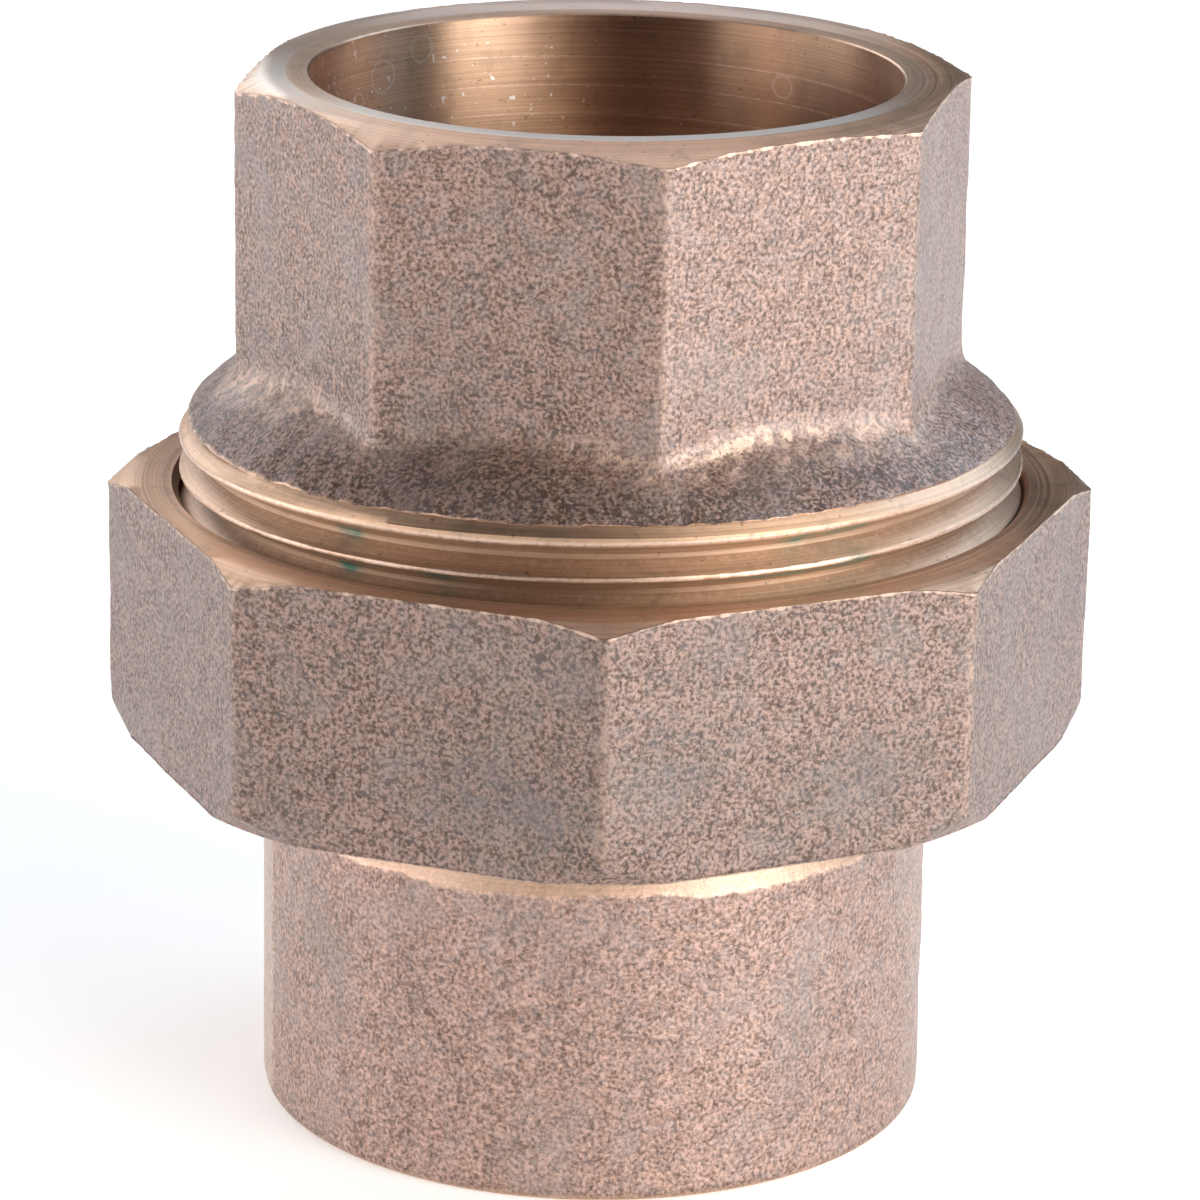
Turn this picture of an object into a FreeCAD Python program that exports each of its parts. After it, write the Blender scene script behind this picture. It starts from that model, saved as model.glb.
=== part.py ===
import FreeCAD, Part
import math
import os

# A cast bronze ground-joint union with a solder cup at each end, for nominal two-inch copper tube.
# It is three solids: a threaded head, an octagonal union nut, and a tailpiece held by the nut's lip.
# Lengths are in millimetres.  The axis is +Z and z = 0 is the tailpiece's lower rim.
# The head is shown drawn down onto its seat by the nut, hand tight.

# --- Solder cups and waterway ---
CUP_RADIUS = 27.05            # fits 53.98 mm tube with room for solder
CUP_DEPTH = 34.0
CUP_MOUTH_CHAMFER = 0.6
WATERWAY_RADIUS = 25.2
OVERALL_HEIGHT = 98.4

# --- Threaded head: octagonal hub and collar ---
HUB_ACROSS_FLATS = 62.8
HUB_TURN = 0.0                # degrees between +X and the normal of a flat
HUB_LAND_RADIUS = 29.1        # flat turned land around the cup's mouth
HUB_CORNER_DROP = 1.6         # fall of the turned cone from the land to a corner
HUB_EDGE_RADIUS = 1.0
HUB_FOOT_RADIUS = 3.0
HUB_BAR_FOOT_Z = 58.2         # lower end of the hub's bar, inside the collar
COLLAR_EDGE_RADIUS = 38.37    # where the cast top of the collar meets the turned cone
COLLAR_EDGE_Z = 66.2
COLLAR_CROWN = ((36.0, 68.3), (30.0, 72.0))   # radius and height of the crown's middle and inner end
HEAD_BOTTOM_Z = 46.2

# --- Union thread: eight threads per inch, sixty degree form, right hand ---
PITCH = 25.4 / 8
THREAD_RADIUS = 39.1
THREAD_DEPTH = 0.6134 * PITCH
CREST_HALF_WIDTH = PITCH / 16
FLANK_SLOPE = math.tan(math.radians(30))
CREST_ANGLE = -76.4           # degrees from +X at which a crest stands at the height CREST_Z
CREST_Z = 61.58
THREAD_CONE_Z = 65.4          # foot of the cone between the thread and the collar's edge
RUNOUT_ANGLE = 214.0          # where the last groove ends, in degrees from +X
HEAD_THREAD_TURNS = 7
NUT_THREAD_TURNS = 6
THREAD_START_CHAMFER = 2.0
FLANK_GAP = 0.2               # play between the flanks, measured along the axis
NUT_CREST_GAP = 0.35          # play between the nut's crests and the head's roots
NUT_ROOT_GAP = 0.30
NUT_MINOR_RADIUS = THREAD_RADIUS - THREAD_DEPTH + NUT_CREST_GAP
THREAD_CUTTER_OVERRUN = 0.25  # how far a thread's cutter stands out of the metal

# --- Union nut ---
NUT_ACROSS_FLATS = 84.72
NUT_TURN = -7.9
NUT_BOTTOM_Z = 35.5
NUT_TOP_Z = 59.5
NUT_LAND_RADIUS = 43.8        # turned top face
NUT_CORNER_DROP = 1.1         # fall of the top's cone from the land to a corner
NUT_FOOT_RADIUS = 43.9        # start of the 45 degree chamfer under the nut
NUT_EDGE_RADIUS = 1.2
NUT_MOUTH_RADIUS = 39.8
NUT_LIP_THICKNESS = 4.0
NUT_LIP_RADIUS = 32.0
NUT_RELIEF_RADIUS = 39.9
NUT_RELIEF_TOP_Z = 45.6

# --- Tailpiece ---
TAIL_RADIUS = 31.35
TAIL_TOP_RADIUS = 31.25       # casting draft
TAIL_RIM_ROUND = 0.8
NECK_RADIUS = 30.95           # turned neck that the nut's lip runs round
NECK_START_Z = 30.0
SHOULDER_GAP = 0.1            # play between the nut's lip and the shoulder
SHOULDER_RADIUS = 36.8
SHOULDER_TOP_Z = 43.6
SHOULDER_CHAMFER = 0.6
NOSE_Z = 50.0

# --- Ground seat: a cone in the head on a ball on the tailpiece ---
SEAT_RADIUS = 32.5            # contact circle
SEAT_Z = 48.0
SEAT_GAP = 0.08
CHAMBER_RADIUS = 31.0         # cored space in the head between the seat and the cup's stop
CHAMBER_TOP_Z = 57.5
STOP_FOOT_Z = 61.5            # lower edge of the stop ring that the tube butts against

FAR = 80.0                    # larger than any radius of the part
OVERRUN = 1.0                 # how far cutters and blanks pass the faces they cross


def vector(radius, z):
    return FreeCAD.Vector(radius, 0, z)


def revolved(edges):
    """Solid of revolution about Z from a closed run of edges in the XZ plane."""
    face = Part.Face(Part.Wire(edges))
    return face.revolve(FreeCAD.Vector(0, 0, 0), FreeCAD.Vector(0, 0, 1), 360)


def polyline(points):
    """Straight edges through points given as (radius, z)."""
    return [Part.makeLine(vector(*a), vector(*b)) for a, b in zip(points, points[1:])]


def turned(points):
    """Solid of revolution with a straight-sided outline, closed back to its first point."""
    return revolved(polyline(list(points) + [points[0]]))


def arc(start, middle, end):
    return Part.Arc(vector(*start), vector(*middle), vector(*end)).toShape()


def octagon_prism(across_flats, bottom_z, top_z, turn, edge_radius):
    """Upright octagonal bar with rounded corners; one flat faces the direction turn."""
    corner_radius = across_flats / 2 / math.cos(math.pi / 8)
    corners = []
    for index in range(8):
        angle = math.radians(turn + 22.5 + 45 * index)
        x = corner_radius * math.cos(angle)
        y = corner_radius * math.sin(angle)
        corners.append(FreeCAD.Vector(x, y, bottom_z))
    outline = Part.makePolygon(corners + [corners[0]])
    bar = Part.Face(outline).extrude(FreeCAD.Vector(0, 0, top_z - bottom_z))
    upright = [edge for edge in bar.Edges if is_upright(edge)]
    return bar.makeFillet(edge_radius, upright)


def is_upright(edge):
    first, last = edge.Vertexes[0].Point, edge.Vertexes[-1].Point
    return abs(first.x - last.x) < 1e-6 and abs(first.y - last.y) < 1e-6


def one_turn(section):
    """One right-hand turn of a helical bar; section holds (radius, height above the helix) points."""
    helix = Part.makeHelix(PITCH, PITCH, THREAD_RADIUS)
    outline = [vector(radius, height) for radius, height in section]
    profile = Part.makePolygon(outline + [outline[0]])
    return Part.Wire(helix.Edges).makePipeShell([profile], True, True)


def cut_thread(body, section, end_z, end_angle, turns):
    """Cut a helical groove that ends at a height and an angle, one turn at a time from the top down."""
    for turn in range(turns):
        cutter = one_turn(section)
        cutter.rotate(FreeCAD.Vector(0, 0, 0), FreeCAD.Vector(0, 0, 1), end_angle)
        cutter.translate(FreeCAD.Vector(0, 0, end_z - PITCH * (turn + 1)))
        body = body.cut(cutter)
    return body


def crest_height(angle):
    """Height of the head's crest line at an angle in degrees from +X."""
    return CREST_Z + PITCH * (angle - CREST_ANGLE) / 360


def head_groove_section():
    """Outline of the groove between two crests of the head's thread."""
    half_at_crest = PITCH / 2 - CREST_HALF_WIDTH
    half_at_root = half_at_crest - THREAD_DEPTH * FLANK_SLOPE
    half_outside = half_at_crest + THREAD_CUTTER_OVERRUN * FLANK_SLOPE
    root_radius = THREAD_RADIUS - THREAD_DEPTH
    outer_radius = THREAD_RADIUS + THREAD_CUTTER_OVERRUN
    return [(root_radius, -half_at_root), (outer_radius, -half_outside),
            (outer_radius, half_outside), (root_radius, half_at_root)]


def nut_groove_section():
    """Outline of the nut's groove: the head's ridge, enlarged by the play."""
    half_at_crest = CREST_HALF_WIDTH + FLANK_GAP
    half_at_root = half_at_crest - NUT_ROOT_GAP * FLANK_SLOPE
    root_radius = THREAD_RADIUS + NUT_ROOT_GAP
    inner_radius = NUT_MINOR_RADIUS - THREAD_CUTTER_OVERRUN
    half_inside = half_at_crest + (THREAD_RADIUS - inner_radius) * FLANK_SLOPE
    return [(inner_radius, -half_inside), (root_radius, -half_at_root),
            (root_radius, half_at_root), (inner_radius, half_inside)]


def cup(mouth_z, direction):
    """Bore of a solder cup with a chamfered mouth; direction is +1 for a cup that opens upwards."""
    inner_z = mouth_z - direction * CUP_DEPTH
    chamfer_z = mouth_z - direction * CUP_MOUTH_CHAMFER
    outside_z = mouth_z + direction * OVERRUN
    wide = CUP_RADIUS + CUP_MOUTH_CHAMFER
    return turned([(0, inner_z), (CUP_RADIUS, inner_z), (CUP_RADIUS, chamfer_z),
                   (wide, mouth_z), (wide, outside_z), (0, outside_z)])


def hub():
    """Octagonal wrench hub with its top turned to a flat land and a shallow cone."""
    bar = octagon_prism(HUB_ACROSS_FLATS, HUB_BAR_FOOT_Z, OVERALL_HEIGHT, HUB_TURN, HUB_EDGE_RADIUS)
    corner_radius = HUB_ACROSS_FLATS / 2 / math.cos(math.pi / 8)
    slope = HUB_CORNER_DROP / (corner_radius - HUB_LAND_RADIUS)
    far_z = OVERALL_HEIGHT - slope * (FAR - HUB_LAND_RADIUS)
    envelope = turned([(0, 0), (FAR, 0), (FAR, far_z), (HUB_LAND_RADIUS, OVERALL_HEIGHT),
                       (0, OVERALL_HEIGHT)])
    return bar.common(envelope)


def collar():
    """Round collar: thread blank, turned cone, and the cast crown that the hub stands on."""
    middle, inner = COLLAR_CROWN
    edge = (COLLAR_EDGE_RADIUS, COLLAR_EDGE_Z)
    chamfer = THREAD_START_CHAMFER
    outline = polyline([(0, HEAD_BOTTOM_Z), (THREAD_RADIUS - chamfer, HEAD_BOTTOM_Z),
                        (THREAD_RADIUS, HEAD_BOTTOM_Z + chamfer), (THREAD_RADIUS, THREAD_CONE_Z), edge])
    outline.append(arc(edge, middle, inner))
    outline += polyline([inner, (0, inner[1]), (0, HEAD_BOTTOM_Z)])
    return revolved(outline)


def hub_foot_edges(body):
    """Edges where the hub's sides meet the collar's crown."""
    low, high = COLLAR_CROWN[0][1], COLLAR_CROWN[1][1]
    return [edge for edge in body.Edges if edge.BoundBox.ZMin > low and edge.BoundBox.ZMax < high]


def threaded_head():
    body = hub().fuse(collar())
    body = body.makeFillet(HUB_FOOT_RADIUS, hub_foot_edges(body))
    below = HEAD_BOTTOM_Z - OVERRUN
    stop_top = OVERALL_HEIGHT - CUP_DEPTH + OVERRUN
    bore = turned([(0, below), (SEAT_RADIUS + SEAT_Z - below, below),
                   (CHAMBER_RADIUS, SEAT_Z + SEAT_RADIUS - CHAMBER_RADIUS), (CHAMBER_RADIUS, CHAMBER_TOP_Z),
                   (WATERWAY_RADIUS, STOP_FOOT_Z), (WATERWAY_RADIUS, stop_top), (0, stop_top)])
    body = body.cut(bore)
    body = body.cut(cup(OVERALL_HEIGHT, 1))
    groove_end_z = crest_height(RUNOUT_ANGLE) + PITCH / 2
    return cut_thread(body, head_groove_section(), groove_end_z, RUNOUT_ANGLE, HEAD_THREAD_TURNS)


def union_nut():
    bar = octagon_prism(NUT_ACROSS_FLATS, NUT_BOTTOM_Z, NUT_TOP_Z, NUT_TURN, NUT_EDGE_RADIUS)
    corner_radius = NUT_ACROSS_FLATS / 2 / math.cos(math.pi / 8)
    slope = NUT_CORNER_DROP / (corner_radius - NUT_LAND_RADIUS)
    side_radius = corner_radius + OVERRUN
    envelope = turned([(0, NUT_BOTTOM_Z), (NUT_FOOT_RADIUS, NUT_BOTTOM_Z),
                       (side_radius, NUT_BOTTOM_Z + side_radius - NUT_FOOT_RADIUS),
                       (side_radius, NUT_TOP_Z - slope * (side_radius - NUT_LAND_RADIUS)),
                       (NUT_LAND_RADIUS, NUT_TOP_Z), (0, NUT_TOP_Z)])
    lip_z = NUT_BOTTOM_Z + NUT_LIP_THICKNESS
    relief_end_z = NUT_RELIEF_TOP_Z + (NUT_RELIEF_RADIUS - NUT_MINOR_RADIUS)
    mouth_foot_z = NUT_TOP_Z - (NUT_MOUTH_RADIUS - NUT_MINOR_RADIUS)
    below = NUT_BOTTOM_Z - OVERRUN
    hollow = turned([(0, below), (NUT_LIP_RADIUS, below), (NUT_LIP_RADIUS, lip_z),
                     (NUT_RELIEF_RADIUS, lip_z), (NUT_RELIEF_RADIUS, NUT_RELIEF_TOP_Z),
                     (NUT_MINOR_RADIUS, relief_end_z), (NUT_MINOR_RADIUS, mouth_foot_z),
                     (NUT_MOUTH_RADIUS + OVERRUN, NUT_TOP_Z + OVERRUN), (0, NUT_TOP_Z + OVERRUN)])
    body = bar.common(envelope).cut(hollow)
    return cut_thread(body, nut_groove_section(), crest_height(0), 0, NUT_THREAD_TURNS)


def ball_point(angle_from_seat):
    """Point of the ball seat; the cone's 45 degree normal puts the ball's centre on the axis."""
    centre_z = SEAT_Z - SEAT_RADIUS
    ball_radius = SEAT_RADIUS * math.sqrt(2) - SEAT_GAP
    angle = math.radians(45) + angle_from_seat
    return ball_radius * math.cos(angle), centre_z + ball_radius * math.sin(angle)


def ball_radius_at(z):
    ball_radius = SEAT_RADIUS * math.sqrt(2) - SEAT_GAP
    return math.sqrt(ball_radius ** 2 - (z - SEAT_Z + SEAT_RADIUS) ** 2)


def tailpiece():
    neck_top = NUT_BOTTOM_Z + NUT_LIP_THICKNESS + SHOULDER_GAP
    rim = TAIL_RIM_ROUND
    rim_middle = (TAIL_RADIUS - rim * (1 - math.sqrt(0.5)), rim * (1 - math.sqrt(0.5)))
    outline = polyline([(0, 0), (TAIL_RADIUS - rim, 0)])
    outline.append(arc((TAIL_RADIUS - rim, 0), rim_middle, (TAIL_RADIUS, rim)))
    shoulder_foot = (ball_radius_at(SHOULDER_TOP_Z), SHOULDER_TOP_Z)
    nose_edge = (ball_radius_at(NOSE_Z), NOSE_Z)
    neck_foot = NECK_START_Z + TAIL_TOP_RADIUS - NECK_RADIUS
    outline += polyline([(TAIL_RADIUS, rim), (TAIL_TOP_RADIUS, NECK_START_Z), (NECK_RADIUS, neck_foot),
                         (NECK_RADIUS, neck_top), (SHOULDER_RADIUS - SHOULDER_CHAMFER, neck_top),
                         (SHOULDER_RADIUS, neck_top + SHOULDER_CHAMFER),
                         (SHOULDER_RADIUS, SHOULDER_TOP_Z - SHOULDER_CHAMFER),
                         (SHOULDER_RADIUS - SHOULDER_CHAMFER, SHOULDER_TOP_Z), shoulder_foot])
    outline.append(arc(shoulder_foot, ball_point(0), nose_edge))
    outline += polyline([nose_edge, (0, NOSE_Z), (0, 0)])
    body = revolved(outline)
    body = body.cut(Part.makeCylinder(WATERWAY_RADIUS, NOSE_Z, FreeCAD.Vector(0, 0, CUP_DEPTH - OVERRUN)))
    return body.cut(cup(0, -1))


os.makedirs("parts", exist_ok=True)
for name, make in (("threaded_head", threaded_head), ("union_nut", union_nut), ("tailpiece", tailpiece)):
    piece = make().Solids[0]
    print(name, "valid", piece.isValid(), "volume", round(piece.Volume))
    piece.exportStep("parts/" + name + ".step")
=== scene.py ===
import math
import bpy
import numpy as np
from mathutils import Matrix, Vector


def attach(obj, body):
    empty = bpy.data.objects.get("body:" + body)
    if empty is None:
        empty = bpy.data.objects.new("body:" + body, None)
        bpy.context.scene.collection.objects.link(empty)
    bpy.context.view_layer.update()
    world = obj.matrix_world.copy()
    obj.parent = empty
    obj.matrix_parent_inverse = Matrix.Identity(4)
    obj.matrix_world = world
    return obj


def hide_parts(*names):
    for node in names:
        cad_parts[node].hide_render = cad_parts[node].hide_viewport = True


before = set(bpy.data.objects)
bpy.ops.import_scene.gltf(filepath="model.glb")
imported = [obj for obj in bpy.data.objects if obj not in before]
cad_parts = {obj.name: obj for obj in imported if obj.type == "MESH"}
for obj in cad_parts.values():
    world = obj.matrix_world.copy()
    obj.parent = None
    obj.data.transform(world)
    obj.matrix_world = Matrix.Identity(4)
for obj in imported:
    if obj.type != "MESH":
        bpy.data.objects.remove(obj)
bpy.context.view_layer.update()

# Lengths are in millimetres until a mesh is made.  Angles are in degrees from +X, seen from above.
# Most sizes repeat the CAD source, which this script can't read.
# The leans, falls, burrs and wear are only here.
MM = 0.001
SIDES = 8               # of the hub's and the nut's octagons
SIDE_ANGLE = 45.0
HALF_SIDE = 22.5
HALF_SIDE_RAD = math.pi / 8

CUP_RADIUS = 27.05
CUP_DEPTH = 34.0
CUP_MOUTH_CHAMFER = 0.6
WATERWAY_RADIUS = 25.2
CUP_STOP_Z = 64.4

HUB_FLAT = 31.4
HUB_TURN = 0.0
HUB_LAND_RADIUS = 29.1
HUB_EDGE_RADIUS = 1.3
HUB_FOOT_RADIUS = 3.0
RIM_Z = 97.8            # of the cup's mouth
RIM_BREAK = 0.15        # broken edge of the cup's mouth
RIM_LEAN = 0.52         # how far the turned top leans, up on the far side from VIEW_ANGLE
RIM_RISE = 0.05         # of the top's outer edge above the mouth, all round
RIM_FIRST_CORNER = -112.5
RIM_CORNER_FALLS = (1.25, 1.0, 0.6, 1.2, 0.85, 0.9, 1.25, 1.5)   # at the corners, from the first one round
COLLAR_EDGE_RADIUS = 38.37
COLLAR_EDGE_Z = 66.2
CROWN_MIDDLE = (36.0, 68.3)
CROWN_INNER = (30.0, 72.0)
CROWN_RELIEF, FILLET_RELIEF = 1.8, 2.0            # how much rougher than the sides
# Darkening of the crown, grime with painted shade, and painted shade at the hub's foot on the left.
CROWN_GRIME_AND_SHADE, HUB_FOOT_SHADE = 0.85, 0.35
HUB_SIDE_ROWS = 44
FILLET_ROWS = (0.2, 0.4, 0.6, 0.8, 1.0)
# Rows of the crown, in shares of the way from its edge to the hub's foot.
CROWN_ROWS = (0.03, 0.12, 0.25, 0.4, 0.55, 0.7, 0.85, 1.0)
COLLAR_LEAN_ANGLE, COLLAR_LEAN_WIDTH = -65, 40    # where the collar runs lowest, from the view angle
CONE_LEAN, EDGE_LEAN = 0.9, 0.6                   # how much lower its turned cone and its cast edge are there
COLLAR_SAG, COLLAR_SAG_ANGLE, COLLAR_SAG_WIDTH = 0.2, 60, 25
COLLAR_RAGGED = 0.14    # height of the waves in the collar's edge
HUB_BACK_HIGHLIGHT = 0.6     # painted highlight on the top's outer part at the back
HUB_LEFT_HIGHLIGHT, HUB_LEFT_ANGLE, HUB_LEFT_WIDTH = 1.0, -80, 28    # and a painted highlight at the left, from the view angle
HEAD_BOTTOM_Z = 46.2
SEAT_FOOT_RADIUS = 34.3
CHAMBER_RADIUS = 31.0
CHAMBER_FOOT_Z = 49.5
CHAMBER_TOP_Z = 57.5
STOP_FOOT_Z = 61.5

PITCH = 25.4 / 8
THREAD_RADIUS = 39.1
THREAD_DEPTH = 0.6134 * PITCH
CREST_HALF_WIDTH = PITCH / 16
FLANK_SLOPE = math.tan(math.radians(30))
CREST_ANGLE = -76.4
CREST_Z = 61.58
THREAD_CONE_Z = 65.4
THREAD_START_CHAMFER = 2.0
RUNOUT_FADE = (200.0, 262.0)
ROOT_BLEND = 0.12       # rounding between the flanks and the root or the crest
CREST_LOSS = 0.035      # worn off the thread
CREST_RAGGED, CREST_RAGGED_SIZE = 0.03, 1.7       # height and wavelength of the waves in its crests
# Rows of the mesh on the thread's profile, by their distance from the crest.
ROWS_ABOVE_CREST = (0, 0.17, 0.28, 1.2, 1.37, PITCH / 2)
ROWS_BELOW_CREST = (0.17, 0.28, 0.44, 0.6, 1.2, 1.37)
FIRST_TURN, LAST_TURN = -9, 4    # of those rows, more than both threads need

NUT_FLAT = 42.36
NUT_TURN = -7.9
NUT_BOTTOM_Z = 35.5
NUT_TOP_Z = 59.5
NUT_LEAN = 0.4          # the nut sits a little askew on its thread, up on the right
NUT_LAND_RADIUS = 43.8
NUT_CORNER_DROP = 1.1
NUT_FOOT_RADIUS = 43.9
NUT_EDGE_RADIUS = 1.3
NUT_MOUTH_RADIUS = 39.8
NUT_MINOR_RADIUS = THREAD_RADIUS - THREAD_DEPTH + 0.35
NUT_ROOT_RADIUS = THREAD_RADIUS + 0.3
NUT_ROOT_HALF_WIDTH = CREST_HALF_WIDTH + 0.2 - 0.3 * FLANK_SLOPE
NUT_LIP_TOP_Z = 39.5
NUT_LIP_RADIUS = 32.0
NUT_RELIEF_RADIUS = 39.9
NUT_RELIEF_TOP_Z = 45.6
NUT_ROOT_BLEND = 0.1
NUT_FOOT_TALL = 0.26    # rounded lower edge
NUT_SIDE_START = 0.42   # where the rows of the side begin, above its foot
NUT_SIDE_ROWS = 48

TAIL_RADIUS = 31.35
TAIL_TOP_RADIUS = 31.25
TAIL_RIM_ROUND = 0.8
TAIL_DRAFT_TOP_Z = 30.0
TAIL_SPANS = ((TAIL_RIM_ROUND, 28.6, 60), (28.6, 30.9, 18))    # from, to, rows; more at the neck's ragged end
# Angles of marks in the casting are from the view angle; a pair says where a mark begins and is whole.
STRIP_RIGHT, STRIP_LEFT = (-72.0, -73.5), (-108, -104)
STRIP_HEIGHT = 0.12     # the strip stands out, and is smoother and paler than the rest
CRACK_ANGLE, CRACK_DEPTH = -72.6, 0.3
UPPER_CRACK_FOOT = (27.5, 28.3)
LOWER_CRACK_FOOT, LOWER_CRACK_TOP = (14.5, 15.5), (18.7, 17.7)
FOLD_ANGLE, FOLD_Z, FOLD_SLOPE = -28.0, 17.1, 1.03    # a point of the cold fold, and its degrees a millimetre
FOLD_FOOT, FOLD_TOP = (11.5, 13.5), (26.0, 24.0)
FOLD_DEPTH, FOLD_LIP = 0.22, 0.07
NECK_RADIUS = 30.95
NECK_START_Z = 31.0
NECK_METAL, NECK_PALE = 0.6, 0.12
NECK_CONE = 0.2         # slope of the ragged end of the turned neck
SHOULDER_Z = 39.6
SHOULDER_RADIUS = 36.8
SHOULDER_TOP_Z = 43.6
SHOULDER_CHAMFER = 0.6
NOSE_Z = 50.0
NOSE_ROWS = 9
BALL_CENTRE_Z = 15.5
SEAT_RADIUS = 32.5      # where the ball touches the 45 degree seat
BALL_RADIUS = SEAT_RADIUS * math.sqrt(2) - 0.08

HEAD_COLUMNS, NUT_COLUMNS, TAIL_COLUMNS = 515, 690, 640
CORNER_SPAN, CORNER_COLUMNS = 1.5, 11    # extra columns on both sides of an octagon's corner
CLOSEST_COLUMNS = 0.12
SHARP_ANGLE = 38        # between faces, from which an edge is shaded sharp
KEYS_PER_MM, KEY_SHIFT = 1e4, 0.013      # points that round to one key are one vertex

VIEW_ANGLE = -76.37    # direction from the axis to the camera
HUB_TONE, NUT_TONE, TAIL_TONE = -0.05, -0.22, 0.18    # how much lighter or darker each casting is
CAST_RELIEF = ((0.085, 6.5, 1), (0.05, 2.4, 2), (0.04, 1.15, 3))    # height, wavelength and seed
FOOT_HIGHLIGHTS = ((0.75, 25, 26), (0.6, -70, 24))    # painted highlights at the hub's foot: amount, angle from the view, width
FOOT_WEAR_ALL = 0.15
# Rows of the burr at a turned top: out, more out where ragged, up, more up where ragged,
# skin, wear, more wear.
BURR_ROWS = ((0.01, 0.0, -0.14, -0.26, 1.0, 0.0, 0.0), (0.01, 0.05, -0.1, -0.16, 0.8, 0.1, 1.0),
             (0.0, 0.09, -0.04, 0.09, 0.5, 0.2, 0.8))
BURR_TALL = 0.45                         # height of the side that the burr takes up
BURR_INNER = (0.1, 0.03, 0.4)            # in from the side, up where ragged, wear
# The dark mark holds painted shade as well as grime; the wear and pale marks also hold painted highlights.
MARKS = ("skin", "wear", "grime", "green", "tone", "pale", "dull", "bore")
# Patches: angle to the right of the view angle, height, width in degrees, height of the patch in millimetres.
VERDIGRIS = ((27.0, 64.1, 1.8, 0.5), (34.5, 64.3, 3.4, 0.45), (35.5, 61.4, 2.0, 0.55),
             (27.0, 61.15, 8.0, 0.25), (-35.6, 63.1, 1.6, 0.5), (-35.6, 59.9, 1.6, 0.45),
             (-21.2, 60.6, 2.0, 0.45))
DULL_NUT = ((-14.0, 43.0, 8.0, 4.5), (-5.0, 41.0, 4.0, 3.5), (9.0, 46.0, 7.0, 4.5), (30.0, 43.0, 9.0, 3.5),
            (-150.0, 47.0, 9.0, 4.0), (120.0, 43.0, 7.0, 3.0))
DULL_TAIL = ((38.0, 15.0, 5.5, 6.0), (-52.0, 20.0, 7.0, 3.5), (160.0, 12.0, 8.0, 4.0))
# Rings that water left in the cup: angle from +X, height, radius.
WATER_STAINS = ((155.0, 93.5, 1.8), (144.3, 95.4, 1.5), (163.0, 91.5, 1.2), (65.5, 92.2, 1.3))
TOOL_LINE_PITCH = 2.8   # lines that the boring tool left in the cup
TOOL_LINE_DEPTHS = (4.3, 7.1, 9.9)
TOOL_LINE_WIDTH = 0.12
TOOL_LINES_FROM, TOOL_LINES_TO = (0.26, 0.32), (0.63, 0.57)    # where they show, in turns from the view angle
HASH_STEPS = np.array([73856093, 19349663, 83492791])    # large numbers that scramble a cell's place
HASH_SEED, HASH_MIX = 374761, 1274126177
NOISE_GAIN = 1.5


# --- Numbers ---
def noise(points, size, seed):
    """Smooth noise between about -1 and 1, with the given wavelength, at an array of points."""
    cell = np.floor(points / size).astype(np.int64)
    part = points / size - cell
    ease = part ** 3 * (part * (part * 6 - 15) + 10)
    total = np.zeros(points.shape[:-1])
    for corner in np.ndindex(2, 2, 2):
        corner = np.array(corner)
        code = ((cell + corner) * HASH_STEPS).sum(axis=-1) + seed * HASH_SEED
        code = (code ^ (code >> 13)) * HASH_MIX
        code = (code ^ (code >> 16)) & 0xFFFFFFFF
        gradient = np.stack([(code >> shift) & 255 for shift in (0, 8, 16)], axis=-1) / 127.5 - 1
        weight = np.prod(np.where(corner == 1, ease, 1 - ease), axis=-1)
        total += weight * ((part - corner) * gradient).sum(axis=-1)
    return total * NOISE_GAIN


def smoothstep(low, high, value):
    """0 at low, 1 at high and smooth between; low may be the greater."""
    t = np.clip((value - low) / (high - low), 0, 1)
    return t * t * (3 - 2 * t)


def from_view(theta):
    """Angle to the right of the camera's direction, between -180 and 180."""
    return (theta - VIEW_ANGLE + 180) % 360 - 180


def bump_at(value, centre, width):
    """1 at the centre, falling smoothly to 0."""
    return np.exp(-((value - centre) / width) ** 2)


def place(theta, radius, height):
    """Points in space from angle, radius and height."""
    turn = np.radians(theta % 360)
    return np.stack(np.broadcast_arrays(radius * np.cos(turn), radius * np.sin(turn), height), axis=-1)


def cast_relief(theta, radius, height, scale=1.0):
    """Height of the sand-cast skin's roughness."""
    at = place(theta, radius, height)
    return scale * sum(waves * noise(at, size, seed) for waves, size, seed in CAST_RELIEF)


def spot(theta, height, angle, z, width, tall):
    """1 at a place on the outside, falling smoothly to 0; width is in degrees from the view angle."""
    across = (from_view(theta) - angle) / width
    return np.exp(-across ** 2 - ((height - z) / tall) ** 2)


def spots(theta, height, places):
    """Several spots together, at most 1."""
    return np.minimum(sum(spot(theta, height, *where) for where in places), 1.0)


# --- Turned bodies: rows of points round the axis ---
def ring_angles(count, first_corner):
    """Angles of the columns, closer together at the corners of an octagon."""
    even = np.arange(count) * 360 / count
    if first_corner is None:
        return np.append(even, 360.0)
    corners = (first_corner + SIDE_ANGLE * np.arange(SIDES)) % 360
    fine = (corners[:, None] + np.linspace(-CORNER_SPAN, CORNER_SPAN, CORNER_COLUMNS)).ravel() % 360
    away = np.abs((even[:, None] - fine + 180) % 360 - 180).min(axis=1) > CLOSEST_COLUMNS
    return np.append(np.unique(np.concatenate([even[away | (even == 0)], fine])), 360.0)


def octagon(theta, flat, edge_radius, turn):
    """(radius, distance from the nearest corner) of an octagon with rounded corners."""
    phi = np.radians((theta - turn + HALF_SIDE) % SIDE_ANGLE - HALF_SIDE)
    centre = (flat - edge_radius) / math.cos(HALF_SIDE_RAD)
    start = math.atan2(centre * math.sin(HALF_SIDE_RAD), flat)
    psi = HALF_SIDE_RAD - np.abs(phi)
    rounded = centre * np.cos(psi) + np.sqrt(np.maximum(edge_radius ** 2 - (centre * np.sin(psi)) ** 2, 0))
    radius = np.where(np.abs(phi) < start, flat / np.cos(phi), rounded)
    return radius, psi * flat


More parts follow.
